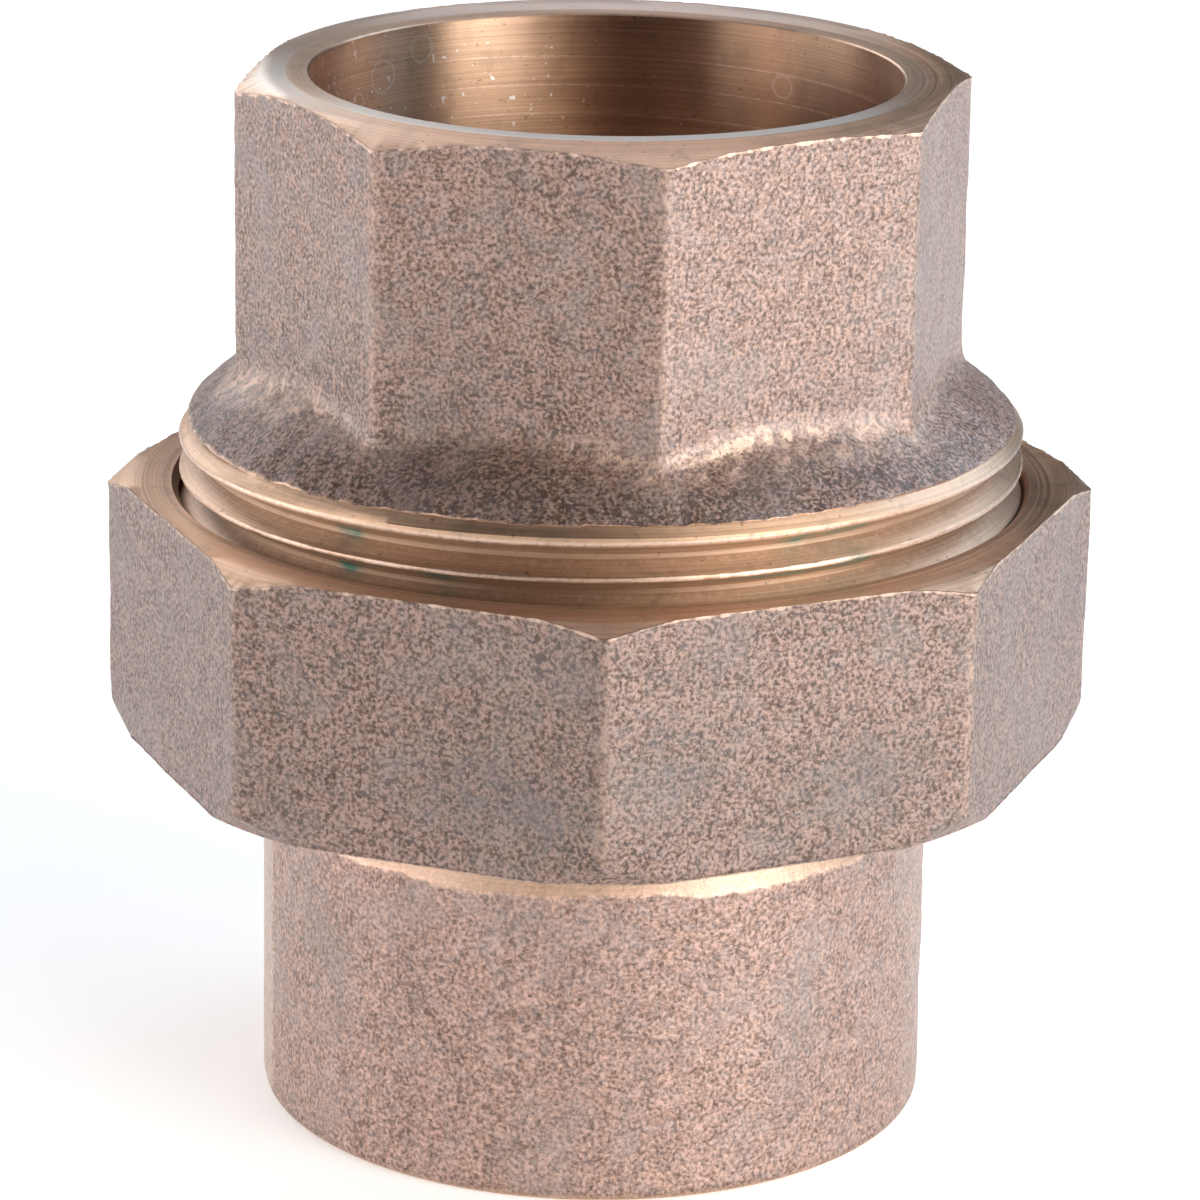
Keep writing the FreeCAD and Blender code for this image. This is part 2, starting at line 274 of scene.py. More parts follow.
class Outline:
    """Rows of radius and height round the axis, with the marks that the material reads."""

    def __init__(self, theta):
        self.theta = theta
        self.rows = []

    def add(self, radius, height, **marks):
        values = [radius, height] + [marks.get(name, 0.0) for name in MARKS]
        self.rows.append([np.broadcast_to(value, self.theta.shape) for value in values])

    def line(self, end_radius, end_height, steps, **marks):
        """Rows from the last one to an end, evenly spaced."""
        radius, height = self.rows[-1][:2]
        for step in range(1, steps + 1):
            t = step / steps
            self.add(radius + t * (end_radius - radius), height + t * (end_height - height), **marks)

    def mesh(self, name):
        rows = np.array(self.rows)
        radius, height = rows[:, 0], rows[:, 1]
        points = place(self.theta[None, :], radius, height).reshape(-1, 3)
        keys = np.round(points * KEYS_PER_MM + KEY_SHIFT).astype(np.int64)
        _, first, inverse = np.unique(keys, axis=0, return_index=True, return_inverse=True)
        index = inverse.reshape(radius.shape)
        below, above = index, np.roll(index, -1, axis=0)
        quads = np.stack([below[:, :-1], below[:, 1:], above[:, 1:], above[:, :-1]], axis=-1).reshape(-1, 4)
        same = quads == np.roll(quads, -1, axis=1)
        whole = quads[~same.any(axis=1)]
        three = quads[same.sum(axis=1) == 1]
        keep = ~same[same.sum(axis=1) == 1]
        faces = whole.tolist() + three[keep].reshape(-1, 3).tolist()
        mesh = bpy.data.meshes.new(name)
        mesh.from_pydata((points[first] * MM).tolist(), [], faces)
        mesh.shade_smooth()
        mesh.set_sharp_from_angle(angle=math.radians(SHARP_ANGLE))
        for number, mark in enumerate(MARKS):
            layer = mesh.attributes.new(mark, "FLOAT", "POINT")
            layer.data.foreach_set("value", rows[:, 2 + number].reshape(-1)[first].astype(np.float32))
        return mesh


def crest_height(theta):
    """Height of the thread's crest that passes CREST_Z at CREST_ANGLE."""
    return CREST_Z + PITCH * (theta - CREST_ANGLE) / 360


def helical_rows(theta, low, high):
    """Heights of rows that follow the thread between two heights, lowest first."""
    steps = np.array(list(ROWS_ABOVE_CREST) + [PITCH - below for below in ROWS_BELOW_CREST])
    turns = np.arange(FIRST_TURN, LAST_TURN)
    starts = np.sort((crest_height(0.0) + PITCH * turns[:, None] + steps).ravel())
    starts = starts[(starts > np.min(low) - PITCH) & (starts < np.max(high))]
    rows = [np.clip(start + PITCH * theta / 360, low, high) for start in starts]
    return [np.broadcast_to(low, theta.shape)] + rows + [np.broadcast_to(high, theta.shape)]


def softened(value, low, high, blend):
    """Clamp with rounded ends."""
    value = low + 0.5 * ((value - low) + np.sqrt((value - low) ** 2 + blend ** 2))
    return high - 0.5 * ((high - value) + np.sqrt((high - value) ** 2 + blend ** 2))


def crest_distance(theta, height):
    """(distance along the axis from the nearest crest, number of the groove above the crest line)."""
    turns = (height - crest_height(theta)) / PITCH
    return np.abs(turns - np.round(turns)) * PITCH, np.floor(turns)


def head_thread_radius(theta, height):
    """External thread with worn crests, a run-out above, a chamfer below and the cone over it."""
    distance, groove = crest_distance(theta, height)
    depth = softened((distance - CREST_HALF_WIDTH) / FLANK_SLOPE, 0, THREAD_DEPTH, ROOT_BLEND)
    worn = CREST_RAGGED * noise(place(theta, THREAD_RADIUS, height), CREST_RAGGED_SIZE, 11)
    depth = depth + CREST_LOSS + worn * (1 - depth / THREAD_DEPTH)
    fade = np.where(groove < 0, 1.0, np.where(groove > 0, 0.0, 1 - smoothstep(*RUNOUT_FADE, theta)))
    radius = THREAD_RADIUS - depth * fade
    chamfer = THREAD_RADIUS - THREAD_START_CHAMFER + (height - HEAD_BOTTOM_Z)
    return np.minimum(np.minimum(radius, chamfer), cone_radius(theta, height))


def collar_lean(theta):
    """1 where the collar's turned cone and edge run lowest."""
    return bump_at(from_view(theta), COLLAR_LEAN_ANGLE, COLLAR_LEAN_WIDTH)


def cone_radius(theta, height):
    """Turned cone between the thread and the collar's edge."""
    fall = (THREAD_RADIUS - COLLAR_EDGE_RADIUS) / (COLLAR_EDGE_Z - THREAD_CONE_Z)
    return THREAD_RADIUS - fall * np.maximum(height - THREAD_CONE_Z + CONE_LEAN * collar_lean(theta), 0)


def nut_thread_radius(theta, height):
    """Internal thread with its chamfered mouth and its run into the relief."""
    distance, _ = crest_distance(theta, height)
    depth = (distance - NUT_ROOT_HALF_WIDTH) / FLANK_SLOPE
    radius = NUT_ROOT_RADIUS - softened(depth, 0, NUT_ROOT_RADIUS - NUT_MINOR_RADIUS, NUT_ROOT_BLEND)
    mouth = NUT_MOUTH_RADIUS - (NUT_TOP_Z + np.maximum(nut_lean(theta), 0) - height)
    relief = NUT_RELIEF_RADIUS - (height - NUT_RELIEF_TOP_Z)
    return np.maximum(np.maximum(radius, mouth), relief)


def circle_through(a, b, c):
    """(radius, height) of the centre, and the radius, of the circle through three points."""
    (ax, ay), (bx, by), (cx, cy) = a, b, c
    d = 2 * (ax * (by - cy) + bx * (cy - ay) + cx * (ay - by))
    squares = [x * x + y * y for x, y in (a, b, c)]
    x = (squares[0] * (by - cy) + squares[1] * (cy - ay) + squares[2] * (ay - by)) / d
    y = (squares[0] * (cx - bx) + squares[1] * (ax - cx) + squares[2] * (bx - ax)) / d
    return x, y, math.hypot(ax - x, ay - y)


def rim_height(theta, radius):
    """Height of the hub's turned top: a flat land round the cup, then a leaning cone."""
    outward = np.clip((radius - HUB_LAND_RADIUS) / (HUB_FLAT - HUB_LAND_RADIUS), 0, 1)
    lean = RIM_RISE - RIM_LEAN * np.cos(np.radians(from_view(theta)))
    fall = np.interp(theta - RIM_FIRST_CORNER, np.arange(SIDES) * SIDE_ANGLE, RIM_CORNER_FALLS, period=360)
    beyond = np.maximum(radius - HUB_FLAT, 0) / (HUB_FLAT / math.cos(HALF_SIDE_RAD) - HUB_FLAT)
    return RIM_Z + outward * lean - fall * beyond


def nut_lean(theta):
    """How much higher the nut sits on its thread at an angle."""
    return NUT_LEAN * np.sin(np.radians(from_view(theta)))


def nut_top_height(theta, radius):
    """Height of the nut's turned top: a flat land round the mouth, then a cone."""
    slope = NUT_CORNER_DROP / (NUT_FLAT / math.cos(HALF_SIDE_RAD) - NUT_LAND_RADIUS)
    return NUT_TOP_Z - slope * np.maximum(radius - NUT_LAND_RADIUS, 0) + np.maximum(nut_lean(theta), 0)


def add_top_edge(shape, radius, top_height, tone):
    """Ragged burr where a cast side meets the turned top; radius is the side's at the top."""
    theta = shape.theta
    edge_z = top_height(theta, radius)
    at = place(theta, radius, edge_z)
    ragged = np.clip(0.35 + 1.3 * noise(at, 0.9, 21) + 0.8 * noise(at, 0.5, 22), 0, 1)
    for out, out_ragged, up, up_ragged, skin, wear, wear_ragged in BURR_ROWS:
        shape.add(radius + out + out_ragged * ragged, edge_z + up + up_ragged * ragged, skin=skin,
                  wear=wear + wear_ragged * ragged, tone=tone)
    inward, up_ragged, wear_ragged = BURR_INNER
    inner = radius - inward
    shape.add(inner, top_height(theta, inner) + up_ragged * ragged, wear=wear_ragged * ragged)


def foot_wear_and_highlight(theta, radius, height):
    """Lumpy bright marks at the hub's foot: painted highlights, most of them at the front right and the left,
    and a little wear all round.
    """
    view = from_view(theta)
    amount = sum(peak * bump_at(view, angle, width) for peak, angle, width in FOOT_HIGHLIGHTS) + FOOT_WEAR_ALL
    return amount * np.clip(0.75 + 1.2 * noise(place(theta, radius, height), 1.3, 51), 0, 1.4)


def add_head_thread(shape, cone_z, edge_z):
    """Thread, its chamfered start and the cone above it, up to the collar's cast edge."""
    theta = shape.theta
    chamfer_top = HEAD_BOTTOM_Z + THREAD_START_CHAMFER
    for low, high in ((HEAD_BOTTOM_Z, chamfer_top), (chamfer_top, cone_z), (cone_z, edge_z)):
        for height in helical_rows(theta, low, high):
            radius = head_thread_radius(theta, height)
            root = (THREAD_RADIUS - radius) / THREAD_DEPTH
            distance, _ = crest_distance(theta, height)
            # Grime and painted shade darken the root, and painted shade lies close below each crest.  The
            # crest is worn, and a fine light line runs in the root above it.
            above = (height - crest_height(theta) + PITCH / 2) % PITCH - PITCH / 2
            grime = 0.45 * smoothstep(0.35, 0.95, root) * np.where(height < THREAD_CONE_Z + 0.6, 1, 0)
            grime = np.maximum(grime, 0.9 * bump_at(above, -0.5, 0.25) * (height < THREAD_CONE_Z))
            crest = smoothstep(0.2, 0.0, root) * smoothstep(0.35, 0.1, distance)
            crest = 1.05 * crest + 0.3 * bump_at(above, 1.2, 0.1) * (root > 0.3)
            shape.add(radius, height, wear=crest, grime=grime, green=spots(theta, height, VERDIGRIS))


def add_crown(shape, side, edge_z):
    """Cast crown from the collar's edge to the hub's foot, and the fillet there; returns the fillet's top."""
    theta = shape.theta
    view = from_view(theta)
    cx, cz, crown_radius = circle_through((COLLAR_EDGE_RADIUS, COLLAR_EDGE_Z), CROWN_MIDDLE, CROWN_INNER)
    fillet_radius = side + HUB_FOOT_RADIUS
    fillet_z = cz + np.sqrt((crown_radius + HUB_FOOT_RADIUS) ** 2 - (fillet_radius - cx) ** 2)
    start = math.atan2(COLLAR_EDGE_Z - cz, COLLAR_EDGE_RADIUS - cx)
    end = np.arctan2(fillet_z - cz, fillet_radius - cx)
    for t in CROWN_ROWS:
        angle = start + t * (end - start)
        radius, height = cx + crown_radius * np.cos(angle), cz + crown_radius * np.sin(angle)
        lift = cast_relief(theta, radius, height, CROWN_RELIEF) + (edge_z - COLLAR_EDGE_Z) * (1 - t)
        inner = smoothstep(0.5, 0.9, t)
        # Grime and painted shade on the crown: less inwards, and painted lighter towards the right.
        grime = np.maximum(CROWN_GRIME_AND_SHADE - 0.65 * inner - 0.5 * smoothstep(35, 75, view), 0.15)
        shape.add(radius + lift * np.cos(angle), height + lift * np.sin(angle), skin=1.0, grime=grime,
                  wear=0.8 * inner * foot_wear_and_highlight(theta, radius, height))
    start = end - math.pi
    for t in FILLET_ROWS:
        angle = start + t * (-math.pi - start)
        radius = fillet_radius + HUB_FOOT_RADIUS * np.cos(angle)
        height = fillet_z + HUB_FOOT_RADIUS * np.sin(angle)
        lift = cast_relief(theta, radius, height, FILLET_RELIEF)
        # Painted shade at the fillet on the left.
        grime = 0.1 * (1 - t) + HUB_FOOT_SHADE * t * smoothstep(2, -6, view)
        shape.add(radius - lift * np.cos(angle), height - lift * np.sin(angle), skin=1.0, grime=grime,
                  wear=foot_wear_and_highlight(theta, radius, height) * bump_at(t, 0.3, 0.5))
    return fillet_z


def add_upper_cup(shape):
    """Turned top inwards from the land, and the cup down to the stop, with the lines of the boring tool."""
    view = from_view(shape.theta)
    # The land is greyer all round, with a painted highlight towards the front.
    land_pale_and_highlight = 0.2 + 0.85 * smoothstep(75, 45, np.abs(view))
    shape.add(HUB_LAND_RADIUS, RIM_Z, pale=land_pale_and_highlight)
    shape.line(CUP_RADIUS + RIM_BREAK, RIM_Z, 2, pale=land_pale_and_highlight)
    shape.line(CUP_RADIUS, RIM_Z - RIM_BREAK, 1, bore=1.0)
    around = (shape.theta - VIEW_ANGLE) % 360 / 360
    seen = smoothstep(*TOOL_LINES_FROM, around) * smoothstep(*TOOL_LINES_TO, around)
    for depth in TOOL_LINE_DEPTHS:
        height = RIM_Z - depth + TOOL_LINE_PITCH * (around - 0.45)
        for offset, mark in ((TOOL_LINE_WIDTH, 0.0), (0.0, 0.8), (-TOOL_LINE_WIDTH, 0.0)):
            shape.add(CUP_RADIUS, height + offset, bore=1.0, wear=mark * seen)
    shape.line(CUP_RADIUS, CUP_STOP_Z, 5, bore=1.0)


def head_mesh():
    """The threaded head, from its seat round the outside and back down through the cup."""
    theta = ring_angles(HEAD_COLUMNS, HALF_SIDE + HUB_TURN)
    view = from_view(theta)
    shape = Outline(theta)
    shape.add(SEAT_FOOT_RADIUS, HEAD_BOTTOM_Z)
    collar_noise = noise(place(theta, COLLAR_EDGE_RADIUS, COLLAR_EDGE_Z), 1.6, 12)
    collar_noise += 0.6 * noise(place(theta, COLLAR_EDGE_RADIUS, COLLAR_EDGE_Z), 0.7, 13)
    sag = COLLAR_SAG * bump_at(view, COLLAR_SAG_ANGLE, COLLAR_SAG_WIDTH) - EDGE_LEAN * collar_lean(theta)
    edge_z = COLLAR_EDGE_Z + COLLAR_RAGGED * collar_noise + sag
    add_head_thread(shape, THREAD_CONE_Z - CONE_LEAN * collar_lean(theta), edge_z)
    burr = np.clip(0.5 + 1.2 * collar_noise, 0, 1)
    shape.add(cone_radius(theta, edge_z) + 0.05 * burr, edge_z + 0.03 + 0.07 * burr,
              skin=0.4, wear=1.2 * burr)

    side, corner = octagon(theta, HUB_FLAT, HUB_EDGE_RADIUS, HUB_TURN)
    foot_z = add_crown(shape, side, edge_z)
    side_top = rim_height(theta, side)
    for step in range(1, HUB_SIDE_ROWS + 1):
        height = foot_z + (side_top - BURR_TALL - foot_z) * step / HUB_SIDE_ROWS
        radius = side + cast_relief(theta, side, height)
        # Painted shade: the left faces darker towards the foot.
        shape.add(radius, height, skin=1.0, wear=0.25 * bump_at(corner, 0, 0.6), tone=HUB_TONE,
                  grime=HUB_FOOT_SHADE * smoothstep(11, 0, height - foot_z) * smoothstep(2, -6, view))
    add_top_edge(shape, side + cast_relief(theta, side, side_top), rim_height, HUB_TONE)
    # Painted highlights on the cone at the left and at the back.
    left_highlight = HUB_LEFT_HIGHLIGHT * bump_at(view, HUB_LEFT_ANGLE, HUB_LEFT_WIDTH)
    cone_highlight = HUB_BACK_HIGHLIGHT * smoothstep(100, 150, np.abs(view)) + left_highlight
    for radius in (np.minimum(side - 0.4, HUB_FLAT), 30.4, HUB_LAND_RADIUS + 0.06):
        shape.add(radius, rim_height(theta, radius), pale=cone_highlight)
    add_upper_cup(shape)
    shape.line(WATERWAY_RADIUS, CUP_STOP_Z, 1)
    shape.line(WATERWAY_RADIUS, STOP_FOOT_Z, 1)
    shape.line(CHAMBER_RADIUS, CHAMBER_TOP_Z, 2, skin=1.0)
    shape.line(CHAMBER_RADIUS, CHAMBER_FOOT_Z, 3, skin=1.0)
    shape.line(SEAT_FOOT_RADIUS, HEAD_BOTTOM_Z, 2)
    return shape.mesh("head")


def nut_mesh():
    """The union nut, from its lip round the outside and back down through its thread."""
    theta = ring_angles(NUT_COLUMNS, HALF_SIDE + NUT_TURN)
    shape = Outline(theta)
    side, corner = octagon(theta, NUT_FLAT, NUT_EDGE_RADIUS, NUT_TURN)
    worn_corner = 0.6 * bump_at(corner, 0, 0.5) * (0.6 + 0.8 * noise(place(theta, side, 0.0), 2.0, 41))
    bottom = NUT_BOTTOM_Z + nut_lean(theta)
    top = NUT_TOP_Z + np.maximum(nut_lean(theta), 0)
    shape.add(NUT_LIP_RADIUS, bottom)
    foot = side + cast_relief(theta, side, NUT_BOTTOM_Z)
    flat_foot = np.minimum(foot, NUT_FOOT_RADIUS)
    shape.line(flat_foot - 0.3, bottom, 3)
    for inward, up, wear in ((0.1, 0.03, 0.6), (0.02, 0.12, 0.6), (0.0, NUT_FOOT_TALL, 0.0)):
        shape.add(flat_foot - inward, bottom + up, skin=1.0, wear=wear, tone=NUT_TONE)
    side_foot_z = bottom + np.maximum(foot - NUT_FOOT_RADIUS, 0)
    shape.line(foot - 0.04, side_foot_z + NUT_FOOT_TALL, 3, skin=1.0, tone=NUT_TONE)
    side_start = side_foot_z + NUT_SIDE_START
    shape.add(foot, side_start, skin=1.0, tone=NUT_TONE)
    side_top = nut_top_height(theta, side)
    for step in range(1, NUT_SIDE_ROWS + 1):
        height = side_start + (side_top - BURR_TALL - side_start) * step / NUT_SIDE_ROWS
        radius = side + cast_relief(theta, side, height)
        shape.add(radius, height, skin=1.0, wear=worn_corner, tone=NUT_TONE,
                  dull=spots(theta, height, DULL_NUT))
    add_top_edge(shape, side + cast_relief(theta, side, side_top), nut_top_height, NUT_TONE)
    shape.line(np.minimum(side - 0.4, NUT_LAND_RADIUS), top, 2)
    shape.line(NUT_MOUTH_RADIUS + 1.0, top, 2)
    for outward, wear, grime in ((0.85, 0.7, 0.3), (0.7, 0.0, 0.3), (0.2, 0.0, 0.0), (0.0, 0.7, 0.0)):
        shape.add(NUT_MOUTH_RADIUS + outward, top, wear=wear, grime=grime)
    mouth_foot_z = NUT_TOP_Z - (NUT_MOUTH_RADIUS - NUT_MINOR_RADIUS)
    relief_top_z = NUT_RELIEF_TOP_Z + NUT_RELIEF_RADIUS - NUT_MINOR_RADIUS
    # Painted shade inside the nut, in its thread and relief.
    for low, high in ((mouth_foot_z, top), (relief_top_z, mouth_foot_z), (NUT_RELIEF_TOP_Z, relief_top_z)):
        for height in reversed(helical_rows(theta, low, high)):
            shape.add(nut_thread_radius(theta, height), height, grime=0.85)
    shape.line(NUT_RELIEF_RADIUS, NUT_LIP_TOP_Z, 2, grime=0.4)
    shape.line(NUT_LIP_RADIUS, NUT_LIP_TOP_Z, 2)
    shape.line(NUT_LIP_RADIUS, bottom, 2)
    return shape.mesh("nut")


def add_tail_row(shape, height):
    """One row of the tail's outside: cast skin with its strip, cracks and fold, cut by the turned neck."""
    theta = shape.theta
    view = from_view(theta)
    taper = (height - TAIL_RIM_ROUND) / (TAIL_DRAFT_TOP_Z - TAIL_RIM_ROUND)
    draft = TAIL_RADIUS + (TAIL_TOP_RADIUS - TAIL_RADIUS) * taper
    at = place(theta, draft, height)
    strip = smoothstep(*STRIP_RIGHT, view + 0.8 * noise(at, 2.5, 31)) * smoothstep(*STRIP_LEFT, view)
    crack = bump_at(view + 0.5 * noise(at, 1.5, 32), CRACK_ANGLE, 0.5)
    lower = smoothstep(*LOWER_CRACK_FOOT, height) * smoothstep(*LOWER_CRACK_TOP, height)
    crack = crack * np.maximum(smoothstep(*UPPER_CRACK_FOOT, height), lower)
    lift = cast_relief(theta, draft, height) * (1 - 0.6 * strip) + STRIP_HEIGHT * strip - CRACK_DEPTH * crack
    lift = lift * smoothstep(0.0, 1.5, height)
    across = view - FOLD_ANGLE + FOLD_SLOPE * (height - FOLD_Z) + 0.6 * noise(at, 3.0, 33)
    fold = FOLD_DEPTH * bump_at(across, 0, 0.5) - FOLD_LIP * bump_at(across, 1.3, 0.8)
    fold = fold * smoothstep(*FOLD_FOOT, height) * smoothstep(*FOLD_TOP, height)
    cast = draft + lift - fold
    tool = NECK_RADIUS + NECK_CONE * np.maximum(NECK_START_Z - height, 0)
    turned = smoothstep(0.03, -0.03, tool - cast)
    edge = bump_at(tool - cast, 0, 0.05)
    # Painted shade darkens the crack and the cold fold.
    shape.add(np.minimum(cast, tool), height, skin=1 - NECK_METAL * turned, wear=0.2 * strip + edge * 0.6,
              grime=np.maximum(crack, 2.5 * np.maximum(fold, 0)), tone=TAIL_TONE,
              pale=np.maximum(0.5 * strip, NECK_PALE * turned), dull=spots(theta, height, DULL_TAIL))


def tail_mesh():
    """The tailpiece, from its lower rim round the outside and back down through the waterway."""
    shape = Outline(ring_angles(TAIL_COLUMNS, None))
    shape.add(CUP_RADIUS + CUP_MOUTH_CHAMFER, 0.0)
    shape.line(TAIL_RADIUS - TAIL_RIM_ROUND, 0.0, 2)
    for t in (0.25, 0.5, 0.75, 1.0):
        angle = -math.pi / 2 + t * math.pi / 2
        radius = TAIL_RADIUS - TAIL_RIM_ROUND * (1 - math.cos(angle))
        shape.add(radius, TAIL_RIM_ROUND * (1 + math.sin(angle)), skin=t)
    for low, high, rows in TAIL_SPANS:
        for height in np.linspace(low, high, rows)[1:]:
            add_tail_row(shape, height)
    shape.line(NECK_RADIUS, SHOULDER_Z, 3, skin=0.4, pale=NECK_PALE)
    shape.line(SHOULDER_RADIUS - SHOULDER_CHAMFER, SHOULDER_Z, 2)
    shape.line(SHOULDER_RADIUS, SHOULDER_Z + SHOULDER_CHAMFER, 1)
    shape.line(SHOULDER_RADIUS, SHOULDER_TOP_Z - SHOULDER_CHAMFER, 2)
    shape.line(SHOULDER_RADIUS - SHOULDER_CHAMFER, SHOULDER_TOP_Z, 1)
    for height in np.linspace(SHOULDER_TOP_Z, NOSE_Z, NOSE_ROWS):
        shape.add(math.sqrt(BALL_RADIUS ** 2 - (height - BALL_CENTRE_Z) ** 2), height)
    shape.line(WATERWAY_RADIUS, NOSE_Z, 2)
    shape.line(WATERWAY_RADIUS, CUP_DEPTH, 4)
    shape.line(CUP_RADIUS, CUP_DEPTH, 1)
    shape.line(CUP_RADIUS, CUP_MOUTH_CHAMFER, 8)
    shape.line(CUP_RADIUS + CUP_MOUTH_CHAMFER, 0.0, 1)
    return shape.mesh("tail")


# --- Materials ---
class Value:
    """A number socket in a node tree, with arithmetic."""

    def __init__(self, graph, socket):
        self.graph = graph
        self.socket = socket

    def __add__(self, other):
        return self.graph.math("ADD", self, other)

    def __sub__(self, other):
        return self.graph.math("SUBTRACT", self, other)

    def __rsub__(self, other):
        return self.graph.math("SUBTRACT", other, self)

    def __mul__(self, other):
        return self.graph.math("MULTIPLY", self, other)

    __radd__ = __add__
    __rmul__ = __mul__


class Graph:
    """A material's node tree, with short ways to make its nodes."""

    def __init__(self, name):
        self.material = bpy.data.materials.new(name)
        self.material.use_nodes = True
        self.tree = self.material.node_tree
        self.tree.nodes.clear()

    def node(self, kind, inputs, **settings):
        node = self.tree.nodes.new(kind)
        for key, value in settings.items():
            setattr(node, key, value)
        for key, value in inputs.items():
            socket = node.inputs[key]
            if isinstance(value, Value):
                self.tree.links.new(value.socket, socket)
            else:
                socket.default_value = value
        return node

    def math(self, operation, *values):
        node = self.node("ShaderNodeMath", dict(enumerate(values)), operation=operation)
        return Value(self, node.outputs[0])

    def finish(self, surface):
        """The material, with this shader as its surface."""
        out = self.node("ShaderNodeOutputMaterial", {})
        self.tree.links.new(surface.outputs[0], out.inputs[0])
        return self.material

    def mark(self, name):
        """One of the mesh's marks."""
        node = self.node("ShaderNodeAttribute", {}, attribute_name=name)
        return Value(self, node.outputs["Fac"])

    def position(self):
        node = self.node("ShaderNodeTexCoord", {})
        return Value(self, node.outputs["Object"])

    def parts(self, vector):
        node = self.node("ShaderNodeSeparateXYZ", {0: vector})
        return [Value(self, socket) for socket in node.outputs]

    def vector(self, x, y, z):
        return Value(self, self.node("ShaderNodeCombineXYZ", {0: x, 1: y, 2: z}).outputs[0])

    def noise(self, vector, size_mm, detail=2.0, roughness=0.5):
        """Noise with about this size of blob; the vector is in metres."""
        inputs = {"Vector": vector, "Scale": 0.5 / (size_mm * MM), "Detail": detail, "Roughness": roughness}
        return Value(self, self.node("ShaderNodeTexNoise", inputs).outputs["Fac"])

    def step(self, value, low, high):
        """0 at low, 1 at high and smooth between; low may be the greater."""
        node = self.node("ShaderNodeMapRange", {0: value, 1: low, 2: high}, interpolation_type="SMOOTHSTEP")
        return Value(self, node.outputs[0])

    def mix(self, factor, first, second):
        node = self.node("ShaderNodeMix", {0: factor, 6: first, 7: second}, data_type="RGBA")
        return Value(self, node.outputs[2])

    def bump(self, height, distance_mm, strength=1.0, normal=None):
        inputs = {"Height": height, "Distance": distance_mm * MM, "Strength": strength}
        if normal is not None:
            inputs["Normal"] = normal
        return Value(self, self.node("ShaderNodeBump", inputs).outputs[0])


def rgb(red, green, blue):
    return (red, green, blue, 1.0)


SKIN_DARK, SKIN_LIGHT = rgb(0.114, 0.062, 0.043), rgb(0.575, 0.38, 0.312)
SKIN_BLUISH, SKIN_ORANGE = rgb(0.29, 0.27, 0.28), rgb(0.50, 0.30, 0.20)
SKIN_BLOTCH, SKIN_STAIN = rgb(0.36, 0.31, 0.30), rgb(0.24, 0.19, 0.18)
# The grime colours also paint shade, and the pale metal also paints highlights on the hub's top.
SKIN_DULL, SKIN_GRIME_AND_SHADE, SKIN_PALE = rgb(0.19, 0.18, 0.178), rgb(0.10, 0.054, 0.042), rgb(0.72, 0.62, 0.52)
METAL_DARK, METAL_LIGHT = rgb(0.54, 0.325, 0.20), rgb(0.82, 0.52, 0.335)
METAL_BROWN, METAL_PIT = rgb(0.38, 0.25, 0.16), rgb(0.16, 0.11, 0.08)
METAL_PALE_AND_HIGHLIGHT, METAL_BORE = rgb(0.86, 0.79, 0.71), rgb(0.30, 0.18, 0.13)
METAL_RING, METAL_GRIME_AND_SHADE = rgb(0.78, 0.68, 0.60), rgb(0.15, 0.095, 0.06)
# The worn colour also paints highlights at the hub's foot.
WORN_AND_HIGHLIGHT, DRIED_DROP, GREEN = rgb(0.80, 0.56, 0.43), rgb(0.85, 0.82, 0.80), rgb(0.10, 0.20, 0.15)
# Sizes of the patterns in millimetres.
GRAIN_SIZE, LUMP_SIZE, HUE_SIZE, BLOTCH_SIZE, STAIN_SIZE = 0.185, 0.8, 0.55, 4.0, 9.0
LINE_SIZE, BROWN_SIZE, PIT_SIZE, SPECK_SIZE, DROP_SIZE = 2.4, 1.6, 0.35, 0.3, 0.4
LINES_ACROSS, LINES_ALONG = 30.0, 0.004      # scale of the lathe lines' pattern across and along them
GRAIN_CONTRAST, LUMP_CONTRAST = 3.7, 0.6
SKIN_BUMP, LINE_BUMP = 0.135, 0.01           # in millimetres


def cast_colour(g, at, grain, lumps, stain, marks):
    """Colour of the sand-cast skin: grain, then hues, blotches, stains, grime with painted shade, and pale
    places.
    """
    x, y, z = g.parts(at)
    grime, tone = marks["grime"], marks["tone"]
    hue = g.noise(g.vector(x + 0.2, y, z), HUE_SIZE, 2.0, 0.6)
    blotch = g.noise(at, BLOTCH_SIZE, 4.0, 0.6)
    bluish, orange = g.step(hue, 0.48, 0.64), g.step(hue, 0.50, 0.34)
    light = (grain - 0.5) * (GRAIN_CONTRAST + grime * 2.0 - tone * 3.0) + 0.5
    light = light + (lumps - 0.5) * (LUMP_CONTRAST + grime * 2.0) - grime * 0.17
    cast = g.mix(light, SKIN_DARK, SKIN_LIGHT)
    cast = g.mix(bluish * 0.2, cast, SKIN_BLUISH)
    cast = g.mix(orange * 0.18, cast, SKIN_ORANGE)
    cast = g.mix(g.step(blotch, 0.48, 0.66) * 0.25, cast, SKIN_BLOTCH)
    cast = g.mix(g.step(stain, 0.55, 0.72) * 0.3, cast, SKIN_STAIN)
    cast = g.mix(marks["dull"] * (0.15 + 0.3 * g.step(lumps, 0.4, 0.6)), cast, SKIN_DULL)
    cast = g.mix(grime * (0.1 + 0.25 * g.step(lumps, 0.4, 0.6)), cast, SKIN_GRIME_AND_SHADE)
    return g.mix(marks["pale"] * 0.5, cast, SKIN_PALE)


